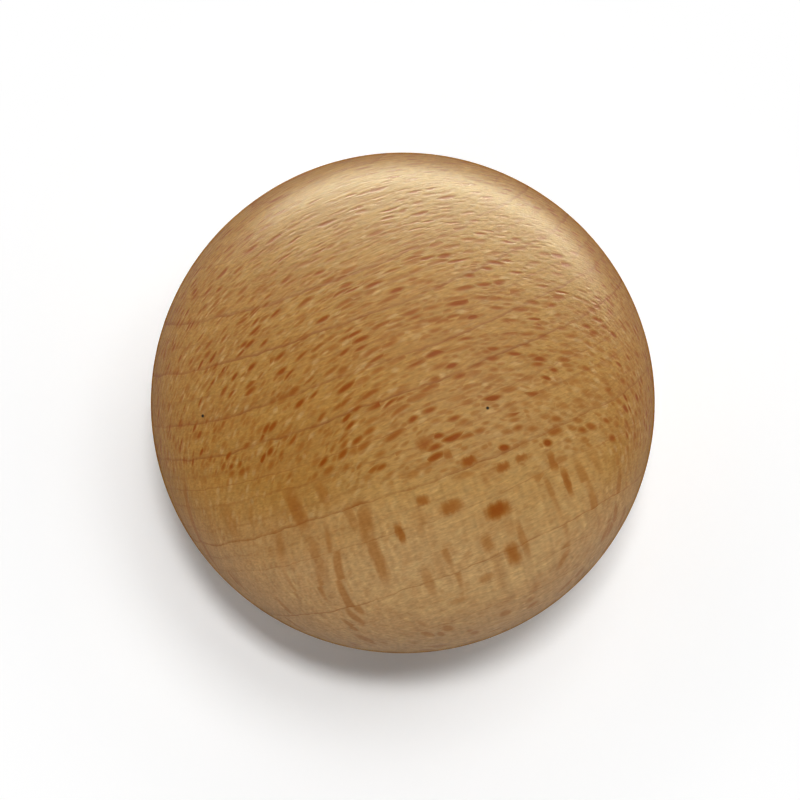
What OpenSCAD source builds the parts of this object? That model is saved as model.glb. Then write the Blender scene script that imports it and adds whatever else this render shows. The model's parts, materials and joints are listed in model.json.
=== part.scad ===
// Turned wooden furniture knob: a domed mushroom head on a waisted stem with a small foot.
// One piece, turned about +Z. The foot's flat mounting face lies at z = 0.

/* [Head] */
// Largest diameter of the head
head_d = 50; // [46:0.5:60]
// Rise of the domed crown above the widest line
crown_h = 12.5; // [11:0.5:16]
// Radius of the shoulder that joins the crown to the widest line
shoulder_r = 9; // [6:0.5:10]
// Radius of the rounded back, from the widest line down to the underside
back_r = 8; // [5:0.5:8.5]

/* [Stem] */
// Height of the stem, from the mounting face up to the underside of the head
stem_h = 17.5; // [16:0.5:24]
// Diameter at the narrowest place of the neck
neck_d = 19; // [15:0.5:20]
// Radius of the hollow cove between the foot and the head
cove_r = 7; // [5:0.5:7.5]
// Diameter of the foot
foot_d = 26; // [22:0.5:28]
// Radius of the bead along the top edge of the foot
bead_r = 1; // [0.4:0.1:1.4]
// Radius of the eased edge round the mounting face
edge_r = 0.6; // [0.2:0.1:1]

/* [Screw hole] */
// Diameter of the blind pilot hole for the fixing screw
hole_d = 3.2; // [2.5:0.1:4.5]
// Depth of the hole at its full diameter
hole_depth = 16; // [10:0.5:20]
// Point angle of the drill that leaves the conical bottom
drill_point = 118; // [90:1:135]

/* [Finish] */
// Colour of the wood
wood_colour = "#a8733c";

/* [Hidden] */
$fn = 96;

// How far a cutting shape runs past the face that it trims
over = 1;

head_r = head_d / 2;
foot_r = foot_d / 2;
hole_r = hole_d / 2;
widest_z = stem_h + back_r;
top_z = widest_z + crown_h;

// The crown is one large arc, tangent to the shoulder arc and level at the axis
shoulder_x = head_r - shoulder_r;
crown_r = (head_r * (head_r - 2 * shoulder_r) + crown_h * crown_h) / (2 * (crown_h - shoulder_r));
crown_z = top_z - crown_r;
crown_meet_x = crown_r * shoulder_x / (crown_r - shoulder_r);

// The back arc starts at the widest line and ends level with the underside
back_x = head_r - back_r;

// The cove is tangent to the underside, and narrowest at its own centre's height
cove_x = neck_d / 2 + cove_r;
cove_z = stem_h - cove_r;

// The bead is tangent to the foot's side and to the cove
bead_x = foot_r - bead_r;
bead_z = cove_z - sqrt(pow(cove_r + bead_r, 2) - pow(cove_x - bead_x, 2));
bead_meet_x = cove_x - (cove_x - bead_x) * cove_r / (cove_r + bead_r);

// Part of a disc: what lies between two radii and two heights
module disc_part(x, z, r, from, to) {
    intersection() {
        translate([x, z]) circle(r);
        translate(from) square(to - from);
    }
}

// Half section of the head, above the underside
module head_section() {
    disc_part(0, crown_z, crown_r, [0, widest_z], [crown_meet_x, top_z + over]);
    disc_part(shoulder_x, widest_z, shoulder_r, [crown_meet_x, widest_z], [head_r + over, top_z]);
    disc_part(back_x, widest_z, back_r, [back_x, stem_h - over], [head_r + over, widest_z]);
    translate([0, stem_h]) square([back_x, back_r]);
}

// Half section of the waisted stem, up into the head
module stem_section() {
    difference() {
        union() {
            square([bead_meet_x, cove_z]);
            translate([0, cove_z]) square([cove_x, cove_r + over]);
        }
        translate([cove_x, cove_z]) circle(cove_r);
    }
}

// Half section of the foot outside the stem
module foot_section() {
    disc_part(bead_x, bead_z, bead_r, [bead_meet_x, bead_z], [foot_r + over, bead_z + bead_r + over]);
    disc_part(foot_r - edge_r, edge_r, edge_r, [foot_r - edge_r, -over], [foot_r + over, edge_r]);
    square([foot_r - edge_r, edge_r]);
    translate([0, edge_r]) square([foot_r, bead_z - edge_r]);
}

// Blind hole with the cone that the drill leaves at its bottom
module screw_hole() {
    translate([0, 0, -over]) cylinder(h = hole_depth + over, r = hole_r);
    translate([0, 0, hole_depth]) cylinder(h = hole_r / tan(drill_point / 2), r1 = hole_r, r2 = 0);
}

module knob() {
    color(wood_colour) difference() {
        rotate_extrude() {
            head_section();
            stem_section();
            foot_section();
        }
        screw_hole();
    }
}

knob();
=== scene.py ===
"""A turned beech furniture knob: a finely turned mesh in solid beech, on a plain pale stage."""

import json
import math

import bpy
from bpy.props import FloatProperty, FloatVectorProperty, IntProperty, PointerProperty
from bpy.types import Operator, Panel, PropertyGroup
from mathutils import Euler, Matrix, Vector

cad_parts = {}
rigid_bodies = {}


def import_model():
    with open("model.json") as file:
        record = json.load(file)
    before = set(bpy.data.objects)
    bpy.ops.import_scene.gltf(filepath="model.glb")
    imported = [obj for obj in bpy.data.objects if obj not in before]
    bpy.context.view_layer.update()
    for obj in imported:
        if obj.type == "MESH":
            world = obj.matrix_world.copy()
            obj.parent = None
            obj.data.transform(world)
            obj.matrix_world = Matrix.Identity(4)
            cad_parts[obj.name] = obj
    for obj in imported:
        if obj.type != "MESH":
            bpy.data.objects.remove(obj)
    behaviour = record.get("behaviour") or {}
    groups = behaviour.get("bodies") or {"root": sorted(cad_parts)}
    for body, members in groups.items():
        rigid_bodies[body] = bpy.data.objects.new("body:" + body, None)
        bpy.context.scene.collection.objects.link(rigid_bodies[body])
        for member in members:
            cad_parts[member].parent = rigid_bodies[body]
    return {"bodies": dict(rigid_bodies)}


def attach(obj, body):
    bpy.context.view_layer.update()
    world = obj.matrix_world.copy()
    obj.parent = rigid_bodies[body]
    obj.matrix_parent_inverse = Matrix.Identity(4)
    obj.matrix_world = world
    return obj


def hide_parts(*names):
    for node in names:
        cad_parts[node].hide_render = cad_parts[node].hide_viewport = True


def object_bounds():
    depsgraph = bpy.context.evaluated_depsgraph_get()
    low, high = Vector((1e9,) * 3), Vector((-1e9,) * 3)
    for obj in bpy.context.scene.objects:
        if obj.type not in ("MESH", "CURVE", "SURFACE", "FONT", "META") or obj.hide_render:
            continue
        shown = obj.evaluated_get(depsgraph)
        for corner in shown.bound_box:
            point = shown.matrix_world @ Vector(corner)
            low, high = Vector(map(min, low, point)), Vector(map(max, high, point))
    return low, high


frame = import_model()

bl_info = {
    "name": "Turned Beech Knob",
    "version": (1, 0, 0),
    "blender": (4, 5, 0),
    "location": "View3D > Sidebar > Knob",
    "description": "Builds a turned beech knob, its wood and a plain stage",
    "category": "Add Mesh",
}

MM = 0.001
CAD_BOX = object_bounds()
HEAD_D = CAD_BOX[1].x - CAD_BOX[0].x
BODY = next(iter(frame["bodies"]))

# Wooden edges sharper than this are shown as edges
SHARP_EDGE = math.radians(30)


# ---------------------------------------------------------------- settings


class KnobSizes(PropertyGroup):
    """The turned outline, from the crown down to the screw hole."""

    head_d: FloatProperty(
        name="Head Diameter",
        description="Largest diameter of the head",
        default=50 * MM,
        unit="LENGTH",
    )
    crown_h: FloatProperty(
        name="Crown Rise",
        description="Rise of the domed crown above the widest line",
        default=12.5 * MM,
        unit="LENGTH",
    )
    shoulder_r: FloatProperty(
        name="Shoulder Radius",
        description="Radius that joins the crown to the widest line",
        default=9 * MM,
        unit="LENGTH",
    )
    back_r: FloatProperty(
        name="Back Radius",
        description="Radius of the rounded back of the head",
        default=8 * MM,
        unit="LENGTH",
    )
    stem_h: FloatProperty(
        name="Stem Height",
        description="Height from the mounting face to the underside of the head",
        default=17.5 * MM,
        unit="LENGTH",
    )
    neck_d: FloatProperty(
        name="Neck Diameter",
        description="Diameter at the narrowest place of the neck",
        default=19 * MM,
        unit="LENGTH",
    )
    cove_r: FloatProperty(
        name="Cove Radius",
        description="Radius of the hollow between the foot and the head",
        default=7 * MM,
        unit="LENGTH",
    )
    foot_d: FloatProperty(
        name="Foot Diameter",
        description="Diameter of the foot",
        default=26 * MM,
        unit="LENGTH",
    )
    bead_r: FloatProperty(
        name="Bead Radius",
        description="Radius along the top edge of the foot",
        default=1 * MM,
        unit="LENGTH",
    )
    edge_r: FloatProperty(
        name="Edge Radius",
        description="Radius of the eased edge round the mounting face",
        default=0.6 * MM,
        unit="LENGTH",
    )
    hole_d: FloatProperty(
        name="Hole Diameter",
        description="Diameter of the blind pilot hole",
        default=3.2 * MM,
        unit="LENGTH",
    )
    hole_depth: FloatProperty(
        name="Hole Depth",
        description="Depth of the pilot hole at its full diameter",
        default=16 * MM,
        unit="LENGTH",
    )
    drill_point: FloatProperty(
        name="Drill Point",
        description="Point angle of the drill that leaves the conical bottom",
        default=math.radians(118),
        subtype="ANGLE",
        unit="ROTATION",
    )
    segments: IntProperty(
        name="Segments",
        description="Faces round the turning axis",
        default=288,
        min=24,
        max=512,
    )
    row_step: FloatProperty(
        name="Row Step",
        description="Largest distance between rows of faces along the outline",
        default=0.6 * MM,
        unit="LENGTH",
    )


class BeechSettings(PropertyGroup):
    """How the blank was sawn, and the colours of the wood."""

    fibre_turn: FloatProperty(
        name="Fibre Turn",
        description="Turn of the fibres from +X, seen from above the crown",
        default=math.radians(22.7),
        subtype="ANGLE",
        unit="ROTATION",
    )
    fibre_dip: FloatProperty(
        name="Fibre Dip",
        description="How far the fibres dip below level towards +X",
        default=math.radians(3.1),
        subtype="ANGLE",
        unit="ROTATION",
    )
    ring_lean: FloatProperty(
        name="Ring Lean",
        description="Lean of the growth rings from upright",
        default=math.radians(22.6),
        subtype="ANGLE",
        unit="ROTATION",
    )
    first_ring: FloatProperty(
        name="First Ring",
        description="Place of the lowest ring boundary, square to the rings from the head's centre",
        default=-24 * MM,
        unit="LENGTH",
    )
    ring_widths: FloatVectorProperty(
        name="Ring Widths",
        description="Widths of the growth rings in millimetres, from the lowest upwards",
        size=14,
        default=(3.0, 2.5, 2.7, 2.3, 3.0, 2.5, 3.3, 5.4, 3.0, 3.0, 4.4, 3.9, 4.2, 3.6),
    )
    faint_rings: FloatVectorProperty(
        name="Faint Rings",
        description="Places of the fainter lines between the rings, in millimetres",
        size=8,
        default=(-6.0, -2.9, -0.8, 2.1, 8.8, 13.2, 17.3, 20.8),
    )
    golden: FloatVectorProperty(
        name="Golden Wood",
        description="Ground colour of the golden side of the blank",
        subtype="COLOR",
        size=3,
        default=(0.396, 0.198, 0.041),
    )
    pale: FloatVectorProperty(
        name="Pale Wood",
        description="Ground colour of the paler side of the blank",
        subtype="COLOR",
        size=3,
        default=(0.465, 0.274, 0.116),
    )
    late: FloatVectorProperty(
        name="Late Wood",
        description="Colour towards the end of each year's growth",
        subtype="COLOR",
        size=3,
        default=(0.330, 0.140, 0.030),
    )
    ring_line: FloatVectorProperty(
        name="Ring Line",
        description="Colour of the thin line between two years",
        subtype="COLOR",
        size=3,
        default=(0.255, 0.080, 0.016),
    )
    ray: FloatVectorProperty(
        name="Ray",
        description="Colour of the brown ray flecks",
        subtype="COLOR",
        size=3,
        default=(0.262, 0.062, 0.003),
    )
    # A painted highlight: this colour is painted in as pale glints between the rays and as lustre
    # where the ray sheets lie flat
    painted_highlight: FloatVectorProperty(
        name="Glint",
        description="Colour of the pale flecks between the rays",
        subtype="COLOR",
        size=3,
        default=(0.600, 0.400, 0.165),
    )


class StageSettings(PropertyGroup):
    """Camera, floor and lamps."""

    camera_lean: FloatProperty(
        name="Camera Lean",
        description="Lean of the camera from the turning axis towards -Y",
        default=math.radians(8),
        subtype="ANGLE",
        unit="ROTATION",
    )
    lens: FloatProperty(
        name="Lens", description="Focal length in millimetres", default=100
    )
    head_share: FloatProperty(
        name="Head Share",
        description="Width of the head as a share of the picture's width",
        default=0.6285,
    )
    floor_colour: FloatVectorProperty(
        name="Floor Colour",
        description="Colour of the floor",
        subtype="COLOR",
        size=3,
        default=(0.82, 0.82, 0.82),
    )
    seen_white: FloatProperty(
        name="Seen White",
        description="Paleness of the floor as the camera sees it, so that the lit floor is white",
        default=1.1,
    )
    fade_start: FloatProperty(
        name="Fade Start",
        description="Distance at which the floor starts to fade to plain white",
        default=0.027,
        unit="LENGTH",
    )
    fade_end: FloatProperty(
        name="Fade End",
        description="Distance from which the floor is plain white",
        default=0.060,
        unit="LENGTH",
    )
    light: FloatProperty(
        name="Light", description="Light of all the softboxes on the object", default=1.0
    )
    sheen: FloatProperty(
        name="Sheen", description="Power of the softbox that shows only in the gloss", default=9.0
    )
    ambient: FloatProperty(
        name="Ambient", description="Strength of the room's own light", default=0.03
    )


# ---------------------------------------------------------------- turned mesh


def arc(centre, radius, start, end, step):
    """Points along an arc in the (radius, height) half plane, its first point left out."""
    count = max(2, math.ceil(abs(end - start) * radius / step))
    return [
        (
            centre[0] + radius * math.cos(start + (end - start) * i / count),
            centre[1] + radius * math.sin(start + (end - start) * i / count),
        )
        for i in range(1, count + 1)
    ]


def line(start, end, step):
    """Points along a straight stretch, its first point left out."""
    count = max(1, math.ceil(math.dist(start, end) / step))
    return [
        tuple(a + (b - a) * i / count for a, b in zip(start, end))
        for i in range(1, count + 1)
    ]


def turned_outline(s):
    """Named stretches of (radius, height) points, from the crown to the hole's bottom."""
    head_r, foot_r, hole_r = s.head_d / 2, s.foot_d / 2, s.hole_d / 2
    widest_z = s.stem_h + s.back_r
    top_z = widest_z + s.crown_h
    shoulder = (head_r - s.shoulder_r, widest_z)
    crown_r = (head_r * (head_r - 2 * s.shoulder_r) + s.crown_h**2) / (
        2 * (s.crown_h - s.shoulder_r)
    )
    crown = (0, top_z - crown_r)
    meet = math.atan2(shoulder[1] - crown[1], shoulder[0])
    back = (head_r - s.back_r, widest_z)
    cove = (s.neck_d / 2 + s.cove_r, s.stem_h - s.cove_r)
    bead_x = foot_r - s.bead_r
    bead_rise = math.sqrt((s.cove_r + s.bead_r) ** 2 - (cove[0] - bead_x) ** 2)
    bead = (bead_x, cove[1] - bead_rise)
    bead_meet = math.atan2(bead_rise, cove[0] - bead_x)
    edge = (foot_r - s.edge_r, s.edge_r)
    tip_z = s.hole_depth + hole_r / math.tan(s.drill_point / 2)
    quarter, step = math.pi / 2, s.row_step
    fine = step / 4
    return [
        ("crown", [(0, top_z)] + arc(crown, crown_r, quarter, meet, step)),
        ("crown", arc(shoulder, s.shoulder_r, meet, 0, step)),
        ("back", arc(back, s.back_r, 0, -quarter, step)),
        ("back", line((back[0], s.stem_h), (cove[0], s.stem_h), step)),
        ("back", arc(cove, s.cove_r, quarter, 2 * quarter, step)),
        ("foot", arc(cove, s.cove_r, 2 * quarter, 2 * quarter + bead_meet, step)),
        ("foot", arc(bead, s.bead_r, bead_meet, 0, fine)),
        ("foot", line((foot_r, bead[1]), (foot_r, edge[1]), step)),
        ("foot", arc(edge, s.edge_r, 0, -quarter, fine)),
        ("face", line((edge[0], 0), (hole_r, 0), step)),
        ("hole", line((hole_r, 0), (hole_r, s.hole_depth), step)),
        ("tip", line((hole_r, s.hole_depth), (0, tip_z), step)),
    ]


# Where each part of the surface lies in the bake map, in millimetres: the centre of a disc,
# or the start of the strip that the hole's wall unrolls to
CHARTS = {
    "crown": (32, 32),
    "back": (98, 34.5),
    "foot": (22.5, 86),
    "face": (58, 78),
    "hole": (74, 72),
}
# Side of the bake map, in millimetres
CHART_SIDE = 133
# Width of the hole's strip, in millimetres for each radian round the hole
HOLE_STRIP = 1.6


def chart_point(part, radius, travelled, length, angle):
    """Place of a point in the bake map. Discs are laid out by length along the outline."""
    x, y = CHARTS[part]
    if part == "hole":
        across = angle * HOLE_STRIP
        return (x + travelled / MM) / CHART_SIDE, (y + across) / CHART_SIDE
    spread = {
        "crown": travelled,
        "back": radius[1] + length - travelled,
        "foot": radius[0] + travelled,
        "face": radius[0] - travelled,
    }[part] / MM
    u = (x + spread * math.cos(angle)) / CHART_SIDE
    return u, (y + spread * math.sin(angle)) / CHART_SIDE


def turned_mesh(s):
    """Turns the outline into a closed mesh, lays out its bake map, and returns it."""
    rows = [(part, r, z) for part, points in turned_outline(s) for r, z in points]
    last, n = len(rows) - 1, s.segments
    vertices = [(0, 0, rows[0][2])]
    for _, r, z in rows[1:last]:
        for k in range(n):
            a = 2 * math.pi * k / n
            vertices.append((r * math.cos(a), r * math.sin(a), z))
    vertices.append((0, 0, rows[last][2]))
    tip = len(vertices) - 1

    def at(row, k):
        return 1 + (row - 1) * n + k % n

    # Length travelled along the outline at each row
    along = [0]
    for row in range(last):
        along.append(along[-1] + math.dist(rows[row][1:], rows[row + 1][1:]))

    # First and last row of each part of the bake map. The drilled tip belongs to the hole
    parts = ["hole" if part == "tip" else part for part, _, _ in rows[1:]]
    reach = {}
    for row, part in enumerate(parts):
        start, _ = reach.get(part, (row, row))
        reach[part] = (start, row + 1)

    faces, corners, slots = [], [], []
    for row in range(last):
        part = parts[row]
        start, end = reach[part]
        radii = (rows[start][1], rows[end][1])
        length = along[end] - along[start]
        for k in range(n):
            ring = [(row, k), (row + 1, k), (row + 1, k + 1), (row, k + 1)]
            if row == 0:
                ring.pop()
                face = (0, at(1, k), at(1, k + 1))
            elif row == last - 1:
                ring.pop(2)
                face = (at(row, k), tip, at(row, k + 1))
            else:
                face = tuple(at(i, j) for i, j in ring)
            faces.append(face)
            slots.append(int(part in ("face", "hole")))
            for i, j in ring:
                angle = 2 * math.pi * j / n
                travelled = along[i] - along[start]
                corners.append(chart_point(part, radii, travelled, length, angle))
    mesh = bpy.data.meshes.new("turned_knob")
    mesh.from_pydata(vertices, [], faces)
    mesh.polygons.foreach_set("use_smooth", [True] * len(faces))
    mesh.polygons.foreach_set("material_index", slots)
    chart = mesh.uv_layers.new(name="OFBake")
    chart.uv.foreach_set("vector", [value for corner in corners for value in corner])
    mesh.set_sharp_from_angle(angle=SHARP_EDGE)
    mesh.update()
    return mesh


class KNOB_OT_turn(Operator):
    """Turn the knob and give it its beech"""

    bl_idname = "knob.turn"
    bl_label = "Turn Knob"

    def execute(self, context):
        sizes = context.scene.knob_sizes
        if abs(sizes.head_d - HEAD_D) > 0.1 * MM:
            raise RuntimeError("the head's diameter differs from the frame's")
        knob = bpy.data.objects.new("turned_beech_knob", turned_mesh(sizes))
        context.scene.collection.objects.link(knob)
        wood = beech_group(context.scene.knob_beech)
        knob.data.materials.append(waxed_beech(wood, sizes))
        knob.data.materials.append(bare_beech(wood, sizes))
        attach(knob, BODY)
        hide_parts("knob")
        return {"FINISHED"}


# ---------------------------------------------------------------- wood


class Sheet:
    """Adds and joins nodes in one node tree. A value that isn't a socket is set on the input."""

    def __init__(self, tree):
        self.tree = tree

    def put(self, socket, value):
        if isinstance(value, bpy.types.NodeSocket):
            self.tree.links.new(value, socket)
        elif value is not None:
            socket.default_value = value

    def node(self, kind, inputs=None, **settings):
        node = self.tree.nodes.new("ShaderNode" + kind)
        for name, value in settings.items():
            setattr(node, name, value)
        for name, value in (inputs or {}).items():
            self.put(node.inputs[name], value)
        return node

    def math(self, operation, a, b=None, c=None, clamp=False):
        node = self.node("Math", {0: a, 1: b}, operation=operation, use_clamp=clamp)
        if c is not None:
            self.put(node.inputs[2], c)
        return node.outputs[0]

    def vector(self, operation, a, b=None, scale=None):
        node = self.node("VectorMath", {0: a}, operation=operation)
        if b is not None:
            self.put(node.inputs[1], b)
        if scale is not None:
            self.put(node.inputs["Scale"], scale)
        scalar = operation in ("LENGTH", "DISTANCE", "DOT_PRODUCT")
        return node.outputs["Value" if scalar else "Vector"]

    def mix(self, factor, a, b, blend="MIX"):
        node = self.node("Mix", data_type="RGBA", blend_type=blend)
        for index, value in ((0, factor), (6, a), (7, b)):
            if not isinstance(value, bpy.types.NodeSocket) and index > 0:
                value = (*value, 1)
            self.put(node.inputs[index], value)
        return node.outputs[2]

    def span(self, value, low, high, to_low=0.0, to_high=1.0, smooth=True):
        """Maps low..high to to_low..to_high and clamps."""
        names = ("Value", "From Min", "From Max", "To Min", "To Max")
        inputs = dict(zip(names, (value, low, high, to_low, to_high)))
        kind = "SMOOTHSTEP" if smooth else "LINEAR"
        return self.node("MapRange", inputs, interpolation_type=kind).outputs["Result"]

    def noise(self, vector, cell, detail=2.0, roughness=0.5):
        """Smooth noise from 0 to 1, with one length per axis, in millimetres."""
        scaled = self.vector("DIVIDE", vector, cell)
        inputs = {"Vector": scaled, "Scale": 1, "Detail": detail, "Roughness": roughness}
        return self.node("TexNoise", inputs)

    def axes(self, vector):
        return self.node("SeparateXYZ", {0: vector}).outputs

    def join(self, x, y, z):
        return self.node("CombineXYZ", {0: x, 1: y, 2: z}).outputs[0]


def group_tree(name, inputs, outputs):
    """A node group with its sockets, as (sheet, its input sockets, its output node)."""
    tree = bpy.data.node_groups.new(name, "ShaderNodeTree")
    for label, kind, value in inputs:
        socket = tree.interface.new_socket(label, in_out="INPUT", socket_type=kind)
        if value is not None:
            socket.default_value = value
    for label, kind in outputs:
        tree.interface.new_socket(label, in_out="OUTPUT", socket_type=kind)
    source = tree.nodes.new("NodeGroupInput")
    sink = tree.nodes.new("NodeGroupOutput")
    return Sheet(tree), source.outputs, sink


# How far the rays are scattered from an even grid
RAY_SCATTER = 0.9
# How the rays vary, as spread and base of their length and of their thickness
RAY_LENGTHS, RAY_THICKNESSES = (0.9, 0.55), (0.8, 0.6)
# Parts a ray's depth of colour from whether it is there at all
TONE_SHUFFLE = 7.31


def ray_group():
    """Wood rays as lens shapes, at most one in each cell of the grain space."""
    vector, number = "NodeSocketVector", "NodeSocketFloat"
    sheet, given, sink = group_tree(
        "wood_rays",
        [
            ("Grain", vector, None),
            ("Cell", vector, (2.0, 14.0, 0.5)),
            ("Half Size", vector, (0.7, 8.0, 0.1)),
            ("Share", number, 0.8),
            ("Softness", number, 0.5),
        ],
        [("Mask", number), ("Tone", number)],
    )
    scaled = sheet.vector("DIVIDE", given["Grain"], given["Cell"])
    cells = sheet.node(
        "TexVoronoi", {"Vector": scaled, "Scale": 1, "Randomness": RAY_SCATTER}, feature="F1"
    )
    away = sheet.vector("SUBTRACT", scaled, cells.outputs["Position"])
    away = sheet.vector("MULTIPLY", away, given["Cell"])
    pick = sheet.node("SeparateColor", {0: cells.outputs["Color"]}).outputs
    size = sheet.math("MULTIPLY_ADD", pick[0], *RAY_LENGTHS)
    thick = sheet.math("MULTIPLY_ADD", pick[1], *RAY_THICKNESSES)
    half = sheet.vector("MULTIPLY", given["Half Size"], sheet.join(size, 1.0, thick))
    reach = sheet.vector("LENGTH", sheet.vector("DIVIDE", away, half))
    outer = sheet.math("ADD", 1.0, given["Softness"])
    inner = sheet.math("SUBTRACT", 1.0, given["Softness"])
    lens = sheet.span(reach, outer, inner)
    kept = sheet.math("LESS_THAN", pick[2], given["Share"])
    tone = sheet.math("FRACT", sheet.math("MULTIPLY", pick[2], TONE_SHUFFLE))
    sheet.put(sink.inputs["Mask"], sheet.math("MULTIPLY", lens, kept))
    sheet.put(sink.inputs["Tone"], tone)
    return sheet.tree


# 1 gives a broad fleck round ends, and more gives it squarer ends
FLECK_SQUARENESS = 1.4
# A broad fleck deepens from the first reach to the second, where 1 is its half size
FLECK_FADE = (1.40, 0.20)


def fleck_group():
    """One broad fleck with squarish ends, at a given place of the grain space."""
    vector, number = "NodeSocketVector", "NodeSocketFloat"
    sheet, given, sink = group_tree(
        "broad_fleck",
        [
            ("Grain", vector, None),
            ("Centre", vector, (0, 0, 0)),
            ("Half Size", vector, (1, 1, 1)),
            ("Strength", number, 1.0),
        ],
        [("Mask", number)],
    )
    away = sheet.vector("SUBTRACT", given["Grain"], given["Centre"])
    away = sheet.vector("DIVIDE", away, given["Half Size"])
    away = sheet.vector("POWER", sheet.vector("ABSOLUTE", away), (FLECK_SQUARENESS,) * 3)
    reach = sheet.vector("LENGTH", away)
    mask = sheet.span(reach, *FLECK_FADE)
    sheet.put(sink.inputs["Mask"], sheet.math("MULTIPLY", mask, given["Strength"]))
    return sheet.tree


def grain_axes(beech):
    """Rows: along the fibres, square to the rings, square to the ray sheets."""
    turn = Matrix.Rotation(beech.fibre_turn, 3, "Z")
    dip = Matrix.Rotation(beech.fibre_dip, 3, "Y")
    lean = Matrix.Rotation(beech.ring_lean, 3, "X")
    return (turn @ dip @ lean).transposed()


# Width of the wood past the outermost ring lines, and half the thickness of a year's
# boundary, in millimetres
RING_MARGIN = 3
BOUNDARY_HALF = 0.02
# The years' tones are spread as evenly as can be, from the first year's tone on
FIRST_TONE, TONE_STEP = 0.3, 0.618
# A faint ring: offset in millimetres and strength, from its inner side to its outer side
FAINT_RING = ((-0.22, 0.0), (0.0, 1.0), (0.08, 0.0))


def ring_ramps(sheet, across, beech):
    """How late in its year a place is, and a tone for each year."""
    edges = [beech.first_ring / MM]
    for width in beech.ring_widths:
        edges.append(edges[-1] + width)
    low, high = edges[0] - RING_MARGIN, edges[-1] + RING_MARGIN
    place = sheet.span(across, low, high, smooth=False)
    late = sheet.node("ValToRGB", {0: place})
    tone = sheet.node("ValToRGB", {0: place})
    tone.color_ramp.interpolation = "CONSTANT"
    # The wood past the last boundary is the start of one more year, not all boundary
    late.color_ramp.elements[1].color = (0, 0, 0, 1)
    step = BOUNDARY_HALF / (high - low)
    for index, edge in enumerate(edges):
        at = (edge - low) / (high - low)
        for place_at, value in ((at - step, 0.0), (at + step, 1.0)):
            stop = late.color_ramp.elements.new(place_at)
            stop.color = (value, value, value, 1)
        stop = tone.color_ramp.elements.new(at)
        shade = math.modf(index * TONE_STEP + FIRST_TONE)[0]
        stop.color = (shade, shade, shade, 1)
    return late.outputs[0], tone.outputs[0]


def faint_ring_ramp(sheet, across, beech):
    """Soft thin lines at the faint rings."""
    low, high = min(beech.faint_rings) - RING_MARGIN, max(beech.faint_rings) + RING_MARGIN
    place = sheet.span(across, low, high, smooth=False)
    lines = sheet.node("ValToRGB", {0: place})
    lines.color_ramp.elements[1].color = (0, 0, 0, 1)
    for ring in beech.faint_rings:
        for offset, value in FAINT_RING:
            stop = lines.color_ramp.elements.new((ring + offset - low) / (high - low))
            stop.color = (value, value, value, 1)
    return lines.outputs[0]


# Broad flecks where the ray sheets lie flat in the crown, in millimetres of the grain space:
# along the fibres, across the rings, half length, half height, strength
BROAD_FLECKS = (
    (3.1, -9.35, 1.45, 0.95, 1.0),
    (-0.9, -7.40, 1.30, 0.75, 0.75),
    (1.1, -11.9, 0.75, 1.15, 0.60),
    (3.0, -13.9, 0.85, 1.35, 0.85),
    (3.7, -11.3, 0.70, 1.10, 0.30),
    (-1.05, -0.95, 0.90, 0.85, 0.9),
    (2.25, -4.00, 0.95, 0.50, 0.95),
    (5.05, -5.75, 0.80, 0.50, 0.85),
    (7.0, -5.70, 0.70, 0.40, 0.75),
    (-3.15, -5.85, 0.75, 0.60, 0.8),
    (0.65, -2.70, 0.50, 0.55, 0.7),
    (-0.1, -15.1, 0.90, 0.45, 0.5),
    (-6.2, -8.0, 0.50, 1.10, 0.80),
    (-3.2, -16.3, 1.00, 0.40, 0.4),
    (9.8, -7.2, 0.45, 1.10, 0.75),
    (10.4, -9.6, 0.40, 1.60, 0.8),
)
# Depth of the broad flecks' centres, and half their thickness
FLECK_DEPTH, FLECK_HALF_DEPTH = 14.4, 1.6

# Long soft rays on the paler side: along, across, depth, half length, half height, strength
LONG_RAYS = (
    (-14.3, -2.9, 11.2, 0.75, 2.4, 0.60),
    (-9.0, -9.6, 13.8, 0.70, 3.0, 0.55),
    (-11.5, -2.2, 11.8, 0.55, 1.4, 0.50),
    (-9.9, -5.2, 13.0, 0.50, 1.6, 0.40),
    (-14.2, -7.9, 12.1, 0.60, 2.6, 0.40),
    (-20.4, -2.4, 8.0, 0.60, 2.0, 0.35),
    (4.4, -13.0, 15.1, 0.45, 2.2, 0.50),
    (-5.3, -13.4, 14.6, 0.60, 1.8, 0.40),
)
RAY_HALF_DEPTH = 4.0

# Layers of rays: cell and half size in millimetres (along the fibres, across the rings,
# square to the ray sheets), share of the cells with a ray, softness, and how the depth of
# colour varies: spread and base
SHORT_RAYS = ((1.9, 1.05, 0.42), (0.98, 0.42, 0.115), 0.92, 0.60, 0.75, 0.42)
SMALL_RAYS = ((0.9, 0.8, 0.22), (0.45, 0.30, 0.07), 0.8, 0.6, 0.40, 0.20)
RIBBONS = ((2.8, 16.0, 0.60), (0.75, 8.0, 0.22), 0.75, 0.8, 0.55, 0.30)
# Pale dashes painted into the colour as glints, laid out like a layer of rays
PAINTED_GLINTS = ((1.3, 0.9, 0.30), (0.50, 0.40, 0.09), 0.6, 0.6, 0.4, 0.1)

# How far the grain wanders: cell of the wandering and its reach, in millimetres
SLOW_WANDER = ((14.0, 9.0, 9.0), (1.5, 1.3, 0.6))
RAY_WANDER = ((2.4, 5.0, 1.5), (0.5, 0.5, 0.35))
FLECK_WANDER = ((0.35, 0.9, 0.6), (0.5, 0.5, 0.3))

# Where the short rays give way to ribbons, in millimetres across the rings
RIBBON_SIDE = (-2.5, -6.0)
# Where the paler wood turns golden, in millimetres across the rings
GOLDEN_SIDE = (-15.0, -4.0)
# Slant of those two sides: millimetres across the rings for each millimetre along the fibres
SIDE_SLANT = 0.3

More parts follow.
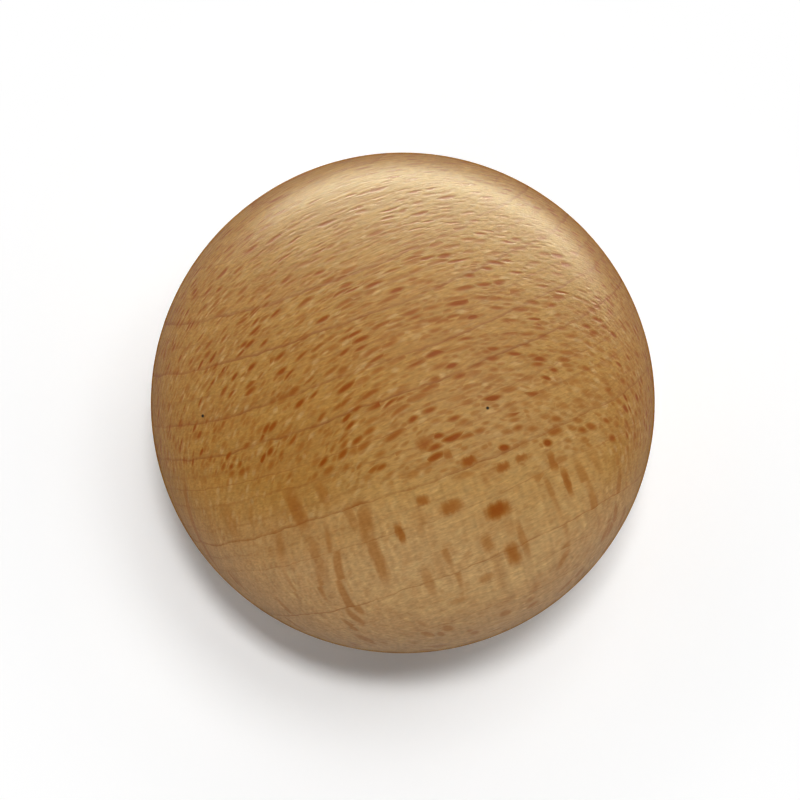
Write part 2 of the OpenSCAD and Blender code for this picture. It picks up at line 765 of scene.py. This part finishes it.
# Noises that vary the wood: cell in millimetres of the grain space, detail, roughness
RIPPLE = ((1.8, 6.0, 1.8), 2.0, 0.5)
SIDE = ((9.0, 4.0, 6.0), 1.0, 0.5)
CLOUD = ((5.0, 2.0, 2.5), 3.0, 0.6)
FIBRES = ((2.2, 0.13, 0.13), 2.0, 0.6)
BANDS = ((25.0, 0.5, 12.0), 2.0, 0.5)
PORES = ((0.6, 0.20, 0.20), 1.0, 0.5)
RIBS = ((0.45, 6.0, 2.0), 1.0, 0.5)
PATCHES = ((3.0, 3.0, 3.0), 2.0, 0.5)

# How far the ripple moves a ring line, and the side noise the golden wood, in millimetres
RIPPLE_REACH, SIDE_REACH = 0.6, 5.0
# Swing of the shade that each noise brings
FIBRE_SHADE, BAND_SHADE, PORE_SHADE, RIB_SHADE = 0.36, 0.20, 0.60, 0.34
# Shares that the ribbon side loses of its short rays, small rays, and late wood with cloud
SHORT_LOSS, SMALL_LOSS, PLAIN_LOSS = 0.80, 0.55, 0.7
# Ribbons: the masks between which they show, their depth, and their share off and on their side
RIBBON_SHOW, RIBBON_DEPTH, RIBBON_SHARES = (0.12, 0.60), 0.55, (0.10, 0.85)
# Shift of the ray layers from year to year, in millimetres
YEAR_SHIFT = 0.35
# Late wood: how fast it comes on towards the end of the year, and how deep it colours
LATE_POWER, LATE_DEPTH = 4.0, 0.40
# Part of the year that makes its boundary line, and the faint rings beside such a line
LINE_SHOW, FAINT_SHARE = (0.90, 0.985), 0.6
# Breaks in the lines: the noise between which they fade, and their weakest and strongest
LINE_BREAKS = (0.25, 0.65, 0.25, 0.80)
# Clouds, painted glints, painted lustre on flat-sawn wood and dark on end grain: where and how
# strong
CLOUD_SHOW, CLOUD_DEPTH = (0.35, 0.7), 0.35
PAINTED_GLINT_DEPTH = 0.8
PAINTED_LUSTRE_SHOW, PAINTED_LUSTRE_DEPTH = (0.90, 0.995), 0.30
END_SHOW, END_DEPTH = (0.45, 0.95), 0.30
# Depth of the flecks' colour, and the tint that their middles take on top
FLECK_COVER, FLECK_TINT = 0.94, (1.0, 0.93, 0.50)
# Relief of the flecks below the fibres, and of the painted glints above them
FLECK_RELIEF, GLINT_RELIEF = 0.8, 0.5

# Two tiny black knots in the wood: along, across, depth, in millimetres of the grain space
BLACK_SPECKS = ((5.80, -0.22, 13.19), (-19.10, 7.37, 4.92))
SPECK_EDGE = (0.20, 0.10)
SPECK_COLOUR = (0.012, 0.008, 0.005)


def beech_group(beech):
    """Solid beech in space: colour with painted glints and lustre, end grain and relief at any
    place in the blank.
    """
    vector, number, colour = "NodeSocketVector", "NodeSocketFloat", "NodeSocketColor"
    sheet, given, sink = group_tree(
        "beech",
        [("Place", vector, None), ("Centre", vector, (0, 0, 0)), ("Facing", vector, None)],
        [("Color", colour), ("End Grain", number), ("Relief", number)],
    )
    rotation = grain_axes(beech).to_euler()
    centred = sheet.vector("SUBTRACT", given["Place"], given["Centre"])
    millimetres = sheet.vector("SCALE", centred, scale=1 / MM)
    grain = sheet.node(
        "Mapping", {"Vector": millimetres, "Rotation": rotation}, vector_type="POINT"
    ).outputs[0]

    facing = sheet.node(
        "Mapping", {"Vector": given["Facing"], "Rotation": rotation}, vector_type="NORMAL"
    ).outputs[0]
    end_on, _, flat_on = sheet.axes(sheet.vector("ABSOLUTE", facing))

    # The grain wanders a little: the rings wave slowly, and the rays a little more
    def wander(cell, reach):
        field = sheet.noise(grain, cell, detail=1.0).outputs["Color"]
        field = sheet.vector("SUBTRACT", field, (0.5, 0.5, 0.5))
        return sheet.vector("MULTIPLY", field, reach)

    def field(place, kind):
        return sheet.noise(place, *kind).outputs[0]

    def swing(value, spread, middle=0.0):
        """A value from 0 to 1 as a swing of the given spread about a middle."""
        return sheet.math("MULTIPLY_ADD", value, spread, middle - spread / 2)

    still = grain
    grain = sheet.vector("ADD", grain, wander(*SLOW_WANDER))
    waved = sheet.vector("ADD", grain, wander(*RAY_WANDER))
    ragged = sheet.vector("ADD", still, wander(*FLECK_WANDER))
    along, across, _ = sheet.axes(grain)

    # Years
    edge = sheet.math("ADD", across, swing(field(still, RIPPLE), RIPPLE_REACH))
    late, tone = ring_ramps(sheet, edge, beech)
    faint = faint_ring_ramp(sheet, edge, beech)
    late_soft = sheet.math("POWER", late, LATE_POWER)
    line_mask = sheet.span(late, *LINE_SHOW)

    # Rays: short lenses where they cross the surface, long ribbons on the paler side
    rays = ray_group()

    def layer(place, cell, half, share, softness, spread, base):
        inputs = {
            "Grain": place,
            "Cell": cell,
            "Half Size": half,
            "Share": share,
            "Softness": softness,
        }
        node = sheet.node("Group", inputs, node_tree=rays)
        depth = sheet.math("MULTIPLY_ADD", node.outputs["Tone"], spread, base)
        return sheet.math("MULTIPLY", node.outputs["Mask"], depth)

    turned = sheet.math("MULTIPLY_ADD", along, SIDE_SLANT, across)
    lower = sheet.span(turned, *RIBBON_SIDE)

    def less_below(value, loss):
        """Takes a share of the value away on the ribbon side."""
        return sheet.math("MULTIPLY", value, sheet.math("MULTIPLY_ADD", lower, -loss, 1.0))

    shift = sheet.math("MULTIPLY", tone, YEAR_SHIFT)
    shifted = sheet.vector("ADD", waved, sheet.join(shift, 0.0, shift))
    short = less_below(layer(waved, *SHORT_RAYS), SHORT_LOSS)
    small = less_below(layer(waved, *SMALL_RAYS), SMALL_LOSS)
    off_side, on_side = RIBBON_SHARES
    ribbon = sheet.span(layer(shifted, *RIBBONS), *RIBBON_SHOW)
    ribbon = sheet.math("MULTIPLY", ribbon, RIBBON_DEPTH)
    share = sheet.math("MULTIPLY_ADD", lower, on_side, off_side)
    ribbon = sheet.math("MULTIPLY", ribbon, share)
    flecks = sheet.math("MAXIMUM", sheet.math("MAXIMUM", short, small), ribbon)
    broad = fleck_group()
    sheets = [
        ((place, ring, FLECK_DEPTH), (half, height, FLECK_HALF_DEPTH), strength)
        for place, ring, half, height, strength in BROAD_FLECKS
    ]
    sheets += [
        ((place, ring, depth), (half, height, RAY_HALF_DEPTH), strength)
        for place, ring, depth, half, height, strength in LONG_RAYS
    ]
    for centre, size, strength in sheets:
        inputs = {"Grain": ragged, "Centre": centre, "Half Size": size, "Strength": strength}
        node = sheet.node("Group", inputs, node_tree=broad)
        flecks = sheet.math("MAXIMUM", flecks, node.outputs["Mask"])
    # Painted glints: pale dashes in the colour that stand in for highlights on the fleck edges
    painted_glints = layer(waved, *PAINTED_GLINTS)

    # Ground colour
    side = sheet.math("ADD", turned, swing(field(grain, SIDE), SIDE_REACH))
    ground = sheet.mix(sheet.span(side, *GOLDEN_SIDE), beech.pale, beech.golden)
    cloud = sheet.span(field(grain, CLOUD), *CLOUD_SHOW)
    cloud = less_below(sheet.math("MULTIPLY", cloud, CLOUD_DEPTH), PLAIN_LOSS)
    ground = sheet.mix(cloud, ground, beech.late)
    late_soft = less_below(late_soft, PLAIN_LOSS)
    ground = sheet.mix(sheet.math("MULTIPLY", late_soft, LATE_DEPTH), ground, beech.late)
    # The painted glints lighten the ground colour
    ground = sheet.mix(sheet.math("MULTIPLY", painted_glints, PAINTED_GLINT_DEPTH), ground, beech.painted_highlight)

    # Tone within the ground: fibres, bands, pores, end grain and ribs, and a painted lustre where
    # the ray sheets lie flat
    fibre = field(grain, FIBRES)
    shade = swing(fibre, FIBRE_SHADE, 1.0)
    shade = sheet.math("MULTIPLY", shade, swing(field(grain, BANDS), BAND_SHADE, 1.0))
    shade = sheet.math("MULTIPLY", shade, swing(field(grain, PORES), PORE_SHADE, 1.0))
    # Painted lustre: a paler wash in the colour where the ray sheets lie flat, standing in for
    # their sheen
    painted_lustre = sheet.math("MULTIPLY", sheet.span(flat_on, *PAINTED_LUSTRE_SHOW), PAINTED_LUSTRE_DEPTH)
    ground = sheet.mix(painted_lustre, ground, beech.painted_highlight)
    end_grain = sheet.span(end_on, *END_SHOW)
    ground = sheet.mix(sheet.math("MULTIPLY", end_grain, END_DEPTH), ground, beech.late)
    ribs = sheet.math("MULTIPLY", lower, swing(field(shifted, RIBS), RIB_SHADE))
    shade = sheet.math("MULTIPLY", shade, sheet.math("ADD", ribs, 1.0))
    ground = sheet.vector("SCALE", ground, scale=shade)

    # Ring lines, flecks and specks over the ground
    lines = sheet.math("MAXIMUM", line_mask, sheet.math("MULTIPLY", faint, FAINT_SHARE))
    breaks = sheet.span(field(grain, PATCHES), *LINE_BREAKS)
    ground = sheet.mix(sheet.math("MULTIPLY", lines, breaks), ground, beech.ring_line)
    wood = sheet.mix(sheet.math("MULTIPLY", flecks, FLECK_COVER), ground, beech.ray)
    middles = sheet.math("POWER", flecks, 2.0)
    wood = sheet.vector("MULTIPLY", wood, sheet.mix(middles, (1.0, 1.0, 1.0), FLECK_TINT))
    for speck in BLACK_SPECKS:
        away = sheet.vector("DISTANCE", still, speck)
        wood = sheet.mix(sheet.span(away, *SPECK_EDGE), wood, SPECK_COLOUR)

    relief = sheet.math("SUBTRACT", fibre, sheet.math("MULTIPLY", flecks, FLECK_RELIEF))
    relief = sheet.math("ADD", relief, sheet.math("MULTIPLY", painted_glints, GLINT_RELIEF))
    sheet.put(sink.inputs["Color"], wood)
    sheet.put(sink.inputs["End Grain"], end_grain)
    sheet.put(sink.inputs["Relief"], relief)
    return sheet.tree


# Roughness of the satin finish: spread over the relief, base, and more on end grain
SATIN = (0.12, 0.40)
SATIN_ON_END = 0.06
# Its gloss: change towards the rim, and level face on
SATIN_GLOSS = (-0.52, 0.44)
# Depth of the wood's relief that both surfaces show
RELIEF_DEPTH = 0.06 * MM
# Fine dust on the sawn face: its colour, and how much of it there is
DUST_COLOUR, DUST = (0.56, 0.40, 0.24), 0.25
# Turning circles on the sawn face, in radians for each millimetre outwards
CIRCLES = 11.0


def beech_sheet(name, wood, sizes):
    """A material with the beech group in it, as (material, its sheet, the group's node)."""
    material = bpy.data.materials.new(name)
    material.use_nodes = True
    tree = material.node_tree
    tree.nodes.clear()
    sheet = Sheet(tree)
    coordinates = sheet.node("TexCoord").outputs
    inputs = {
        "Place": coordinates["Object"],
        "Centre": (0, 0, sizes.stem_h + sizes.back_r),
        "Facing": coordinates["Normal"],
    }
    node = sheet.node("Group", inputs, node_tree=wood)
    return material, sheet, node


def waxed_beech(wood, sizes):
    """The turned surfaces: beech under a thin clear satin finish."""
    material, sheet, grain = beech_sheet("waxed_beech", wood, sizes)
    relief = grain.outputs["Relief"]
    rough = sheet.math("MULTIPLY_ADD", relief, *SATIN)
    on_end = sheet.math("MULTIPLY", grain.outputs["End Grain"], SATIN_ON_END)
    rough = sheet.math("ADD", rough, on_end)
    bump = sheet.node("Bump", {"Height": relief, "Strength": 0.4, "Distance": RELIEF_DEPTH})
    # A thin satin finish doesn't turn to a mirror at the rim
    grazing = sheet.node("LayerWeight", {"Blend": 0.5}).outputs["Facing"]
    gloss = sheet.math("MULTIPLY_ADD", grazing, *SATIN_GLOSS)
    shader = sheet.node(
        "BsdfPrincipled",
        {
            "Base Color": grain.outputs["Color"],
            "Roughness": rough,
            "Normal": bump.outputs[0],
            "IOR": 1.5,
            "Specular IOR Level": sheet.math("MAXIMUM", gloss, 0.0),
        },
    )
    output = sheet.node("OutputMaterial")
    sheet.put(output.inputs["Surface"], shader.outputs[0])
    return material


def bare_beech(wood, sizes):
    """The sawn face and the hole: beech without finish, with the tool's faint circles."""
    material, sheet, grain = beech_sheet("bare_beech", wood, sizes)
    place = sheet.node("TexCoord").outputs["Object"]
    x, y, _ = sheet.axes(sheet.vector("SCALE", place, scale=1 / MM))
    radius = sheet.vector("LENGTH", sheet.join(x, y, 0.0))
    waver = sheet.noise(sheet.join(radius, 0.0, 0.0), (0.35, 1, 1), detail=2.0).outputs[0]
    circles = sheet.math("SINE", sheet.math("MULTIPLY", radius, CIRCLES))
    circles = sheet.math("MULTIPLY", circles, waver)
    height = sheet.math("MULTIPLY_ADD", circles, 0.6, grain.outputs["Relief"])
    bump = sheet.node("Bump", {"Height": height, "Strength": 0.5, "Distance": RELIEF_DEPTH})
    dusty = sheet.mix(DUST, grain.outputs["Color"], DUST_COLOUR)
    groove = sheet.math("MULTIPLY_ADD", circles, 0.10, 0.95)
    colour = sheet.vector("SCALE", dusty, scale=groove)
    shader = sheet.node(
        "BsdfPrincipled",
        {
            "Base Color": colour,
            "Roughness": sheet.math("MULTIPLY_ADD", circles, 0.05, 0.72),
            "Normal": bump.outputs[0],
            "IOR": 1.5,
            "Specular IOR Level": 0.35,
        },
    )
    output = sheet.node("OutputMaterial")
    sheet.put(output.inputs["Surface"], shader.outputs[0])
    return material


# ---------------------------------------------------------------- stage

# Softboxes: name, azimuth, elevation, distance, size, share of the light
LAMPS = (
    ("overhead", 150, 86.8, 0.45, (0.07, 0.04), 0.50),
    ("right_box", 140, 73, 0.45, (0.22, 0.11), 0.28),
    ("left_box", 245, 22, 0.50, (0.30, 0.14), 0.14),
    ("back_box", 178, 15, 0.45, (0.40, 0.12), 0.24),
    ("right_fill", 95, 13, 0.60, (0.40, 0.14), 0.18),
    ("front_fill", 345, 14, 0.60, (0.50, 0.12), 0.14),
)

# The softbox that shows only in the gloss: azimuth, elevation, distance, size; and its tint
SHEEN_PLACE = (171, 10, 0.34, (0.60, 0.15))
WARM = (1.0, 0.99, 0.72)

# Shift of the camera's frame, as shares of its width
FRAME_SHIFT = (-0.0035, 0.0005)
# Brightness of the front wall in the gloss, beside 1 for the back wall
FRONT_WALL = 0.35


def softbox(name, target, azimuth, elevation, distance, size, power, colour=(1, 1, 1)):
    """A rectangular lamp that looks at target. Azimuth 0 is the -Y side, 180 the +Y side."""
    lamp = bpy.data.lights.new(name, "AREA")
    lamp.shape = "RECTANGLE"
    lamp.size, lamp.size_y = size
    lamp.energy = power
    lamp.color = colour
    ob = bpy.data.objects.new(name, lamp)
    bpy.context.scene.collection.objects.link(ob)
    a, e = math.radians(azimuth), math.radians(elevation)
    way = Vector((math.sin(a) * math.cos(e), -math.cos(a) * math.cos(e), math.sin(e)))
    ob.location = target + way * distance
    ob.rotation_euler = way.to_track_quat("Z", "Y").to_euler()
    return ob


class KNOB_OT_stage(Operator):
    """Set up the camera, the floor and the lamps"""

    bl_idname = "knob.stage"
    bl_label = "Set Stage"

    def execute(self, context):
        scene = context.scene
        stage, sizes = scene.knob_stage, scene.knob_sizes
        head = Vector((0, 0, sizes.stem_h + sizes.back_r))

        camera = bpy.data.objects.new("camera", bpy.data.cameras.new("camera"))
        scene.collection.objects.link(camera)
        camera.data.lens = stage.lens
        camera.data.sensor_width = 36
        lean = stage.camera_lean
        back = Vector((0, -math.sin(lean), math.cos(lean)))
        half_view = camera.data.sensor_width / 2 / stage.lens
        distance = sizes.head_d / 2 / (half_view * stage.head_share)
        camera.rotation_mode = "QUATERNION"
        camera.rotation_quaternion = Euler((lean, 0, 0)).to_quaternion()
        camera.location = head + back * distance
        camera.data.clip_start, camera.data.clip_end = 0.01, 10
        camera.data.shift_x, camera.data.shift_y = FRAME_SHIFT
        scene.camera = camera

        floor = bpy.data.meshes.new("floor")
        reach = 3.0
        corners = [(-reach, -reach, 0), (reach, -reach, 0), (reach, reach, 0), (-reach, reach, 0)]
        floor.from_pydata(corners, [], [(0, 1, 2, 3)])
        floor_ob = bpy.data.objects.new("floor", floor)
        scene.collection.objects.link(floor_ob)
        floor.materials.append(floor_paint(stage))

        for name, azimuth, elevation, distance, size, share in LAMPS:
            power = stage.light * share * (math.pi * distance) ** 2
            lamp = softbox(name, head, azimuth, elevation, distance, size, power)
            lamp.visible_glossy = False
        sheen = softbox("sheen", head, *SHEEN_PLACE, stage.sheen, WARM)
        # Lit by lamp samples only, or the gloss lamp would also colour the bare wood
        sheen.visible_diffuse = False
        sheen.data.cycles.use_multiple_importance_sampling = False
        room_light(scene, stage)
        scene.view_settings.view_transform = "Standard"
        return {"FINISHED"}


def floor_paint(stage):
    """A plain pale floor, which the camera sees as white where it is lit and further out."""
    material = bpy.data.materials.new("floor_paint")
    material.use_nodes = True
    tree = material.node_tree
    tree.nodes.clear()
    sheet = Sheet(tree)
    path = sheet.node("LightPath").outputs
    seen = sheet.math("MAXIMUM", path["Is Glossy Ray"], path["Is Transmission Ray"])
    seen = sheet.math("MAXIMUM", seen, path["Is Camera Ray"])
    colour = sheet.mix(seen, stage.floor_colour, (stage.seen_white,) * 3)
    near = sheet.node("BsdfDiffuse", {"Color": colour})
    far = sheet.node("Emission", {"Color": (1, 1, 1, 1), "Strength": 1})
    away = sheet.vector("LENGTH", sheet.node("TexCoord").outputs["Object"])
    fade = sheet.math("MULTIPLY", seen, sheet.span(away, stage.fade_start, stage.fade_end))
    both = sheet.node("MixShader", {0: fade, 1: near.outputs[0], 2: far.outputs[0]})
    output = sheet.node("OutputMaterial")
    sheet.put(output.inputs["Surface"], both.outputs[0])
    return material


def room_light(scene, stage):
    """Faint even light: white to the camera, and in gloss white walls under a dim ceiling."""
    world = bpy.data.worlds.new("room")
    world.use_nodes = True
    scene.world = world
    tree = world.node_tree
    tree.nodes.clear()
    sheet = Sheet(tree)
    path = sheet.node("LightPath").outputs
    _, back, up = sheet.axes(sheet.node("TexCoord").outputs["Generated"])
    walls = sheet.span(up, 0.75, 0.15, stage.ambient, 1.0)
    walls = sheet.math("MULTIPLY", walls, sheet.span(back, -0.6, 0.6, FRONT_WALL, 1.0))
    shiny = sheet.math("MAXIMUM", path["Is Glossy Ray"], path["Is Transmission Ray"])
    strength = sheet.math("MULTIPLY", shiny, walls)
    strength = sheet.math("MAXIMUM", strength, path["Is Camera Ray"])
    strength = sheet.math("MAXIMUM", strength, stage.ambient)
    background = sheet.node("Background", {"Color": (1, 1, 1, 1), "Strength": strength})
    output = sheet.node("OutputWorld")
    sheet.put(output.inputs["Surface"], background.outputs[0])


# ---------------------------------------------------------------- add-on


class KNOB_PT_panel(Panel):
    """Sidebar panel with the knob's sizes, wood and stage"""

    bl_idname = "KNOB_PT_panel"
    bl_label = "Turned Beech Knob"
    bl_space_type = "VIEW_3D"
    bl_region_type = "UI"
    bl_category = "Knob"

    def draw(self, context):
        layout = self.layout
        for title, group in (
            ("Sizes", context.scene.knob_sizes),
            ("Beech", context.scene.knob_beech),
            ("Stage", context.scene.knob_stage),
        ):
            box = layout.box()
            box.label(text=title)
            for name in group.__annotations__:
                box.prop(group, name)
        layout.operator(KNOB_OT_turn.bl_idname)
        layout.operator(KNOB_OT_stage.bl_idname)


CLASSES = (
    KnobSizes,
    BeechSettings,
    StageSettings,
    KNOB_OT_turn,
    KNOB_OT_stage,
    KNOB_PT_panel,
)


def register():
    for cls in CLASSES:
        bpy.utils.register_class(cls)
    bpy.types.Scene.knob_sizes = PointerProperty(type=KnobSizes)
    bpy.types.Scene.knob_beech = PointerProperty(type=BeechSettings)
    bpy.types.Scene.knob_stage = PointerProperty(type=StageSettings)


def unregister():
    del bpy.types.Scene.knob_stage
    del bpy.types.Scene.knob_beech
    del bpy.types.Scene.knob_sizes
    for cls in reversed(CLASSES):
        bpy.utils.unregister_class(cls)


def main():
    register()
    bpy.ops.knob.turn()
    bpy.ops.knob.stage()


if __name__ == "__main__":
    main()
